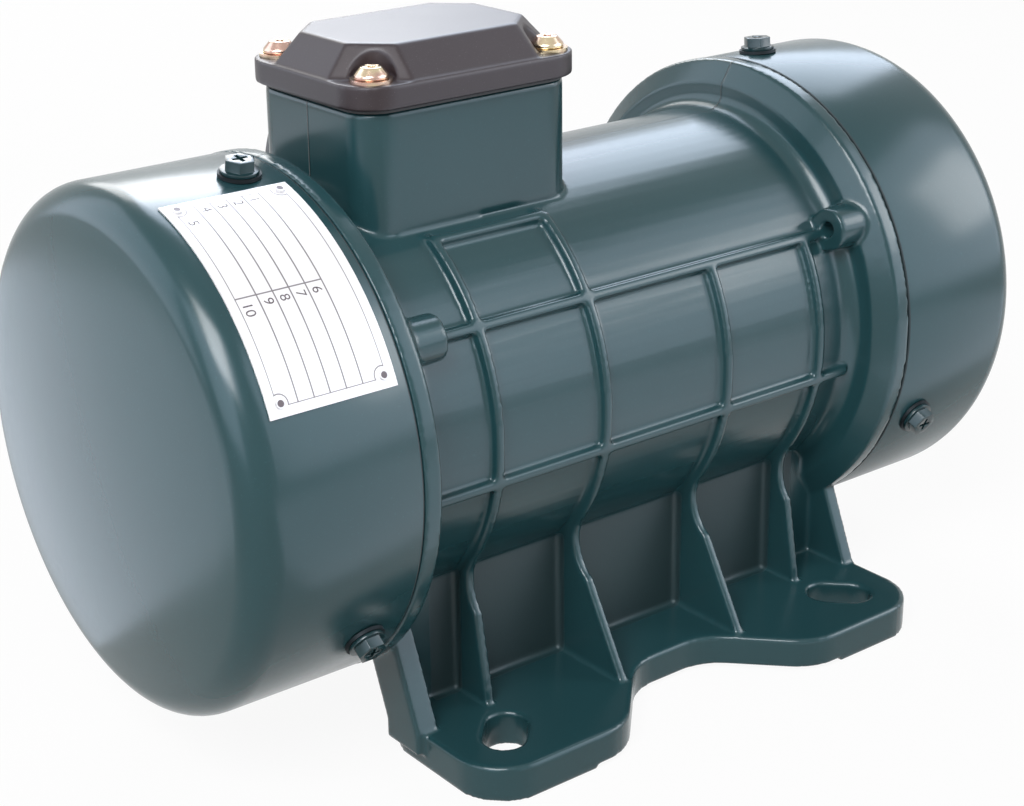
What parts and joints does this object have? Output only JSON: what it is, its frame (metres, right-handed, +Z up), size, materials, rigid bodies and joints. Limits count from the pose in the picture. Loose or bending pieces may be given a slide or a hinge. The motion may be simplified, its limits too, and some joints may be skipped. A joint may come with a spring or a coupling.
{
  "type": "vibration motor",
  "caption": "Foot-mounted electric vibration motor with ribbed barrel, end covers over eccentric weights, terminal box and slotted base.",
  "frame": {"origin": "on the mounting face of the foot, below the middle between the two end covers", "axes": "+X along the shaft towards the right cover, -Y to the front, +Z up"},
  "size_m": [0.3251, 0.3235, 0.2078],
  "materials": {
    "casting_paint": "semi-gloss deep teal paint on a casting",
    "cover_paint": "semi-gloss deep teal paint",
    "dark_washer": "blackened spring steel",
    "screw_steel": "plain steel",
    "plate_metal": "satin white aluminium",
    "core_steel": "varnished laminations",
    "copper_wire": "enamelled copper",
    "bright_steel": "ground steel",
    "weight_iron": "machined cast iron",
    "lid_plastic": "semi-gloss black moulding",
    "seal_rubber": "black rubber",
    "yellow_zinc": "yellow passivated zinc",
    "block_plastic": "phenolic moulding",
    "brass": "brass",
    "capacitor_plastic": "moulded case",
    "gland_plastic": "black moulding",
    "cord_rubber": "black rubber sheath"
  },
  "bodies": {
    "motor_frame": {"motor_housing": "casting_paint", "left_end_shield": "casting_paint", "right_end_shield": "casting_paint", "left_cover": "cover_paint", "right_cover": "cover_paint", "left_cover_screws": "cover_paint", "right_cover_screws": "cover_paint", "left_cover_washers": "dark_washer", "right_cover_washers": "dark_washer", "left_shield_screws": "screw_steel", "right_shield_screws": "screw_steel", "rating_plate": "plate_metal", "plate_rivets": "plate_metal", "stator_core": "core_steel", "stator_windings": "copper_wire", "bearing_outer_rings": "bright_steel", "terminal_box_lid": "lid_plastic", "lid_gasket": "seal_rubber", "lid_screws": "yellow_zinc", "lid_washers": "yellow_zinc", "terminal_block": "block_plastic", "terminal_studs": "brass", "run_capacitor": "capacitor_plastic", "gland_body": "gland_plastic", "gland_nut": "gland_plastic", "gland_seal": "seal_rubber", "supply_cord": "cord_rubber", "supply_cord_coil": "cord_rubber", "plug_body": "gland_plastic", "plug_pins": "brass"},
    "rotor": {"rotor_core": "core_steel", "shaft": "bright_steel", "bearing_inner_rings": "bright_steel", "left_inner_weight": "weight_iron", "right_inner_weight": "weight_iron", "inner_weight_screws": "screw_steel", "weight_keys": "screw_steel", "shaft_end_rings": "screw_steel"},
    "left_set_weight": {"left_outer_weight": "weight_iron", "left_outer_weight_screw": "screw_steel"},
    "right_set_weight": {"right_outer_weight": "weight_iron", "right_outer_weight_screw": "screw_steel"}
  },
  "joints": [
    {"name": "rotor_spin", "type": "hinge", "parent": "motor_frame", "child": "rotor", "pos_m": [0, 0, 0.0976], "axis": [1, 0, 0], "continuous": true},
    {"name": "left_weight_setting", "type": "hinge", "parent": "rotor", "child": "left_set_weight", "pos_m": [-0.1243, 0, 0.0976], "axis": [1, 0, 0], "range_deg": [0, 180]},
    {"name": "right_weight_setting", "type": "hinge", "parent": "rotor", "child": "right_set_weight", "pos_m": [0.1243, 0, 0.0976], "axis": [1, 0, 0], "range_deg": [-180, 0]}
  ]
}
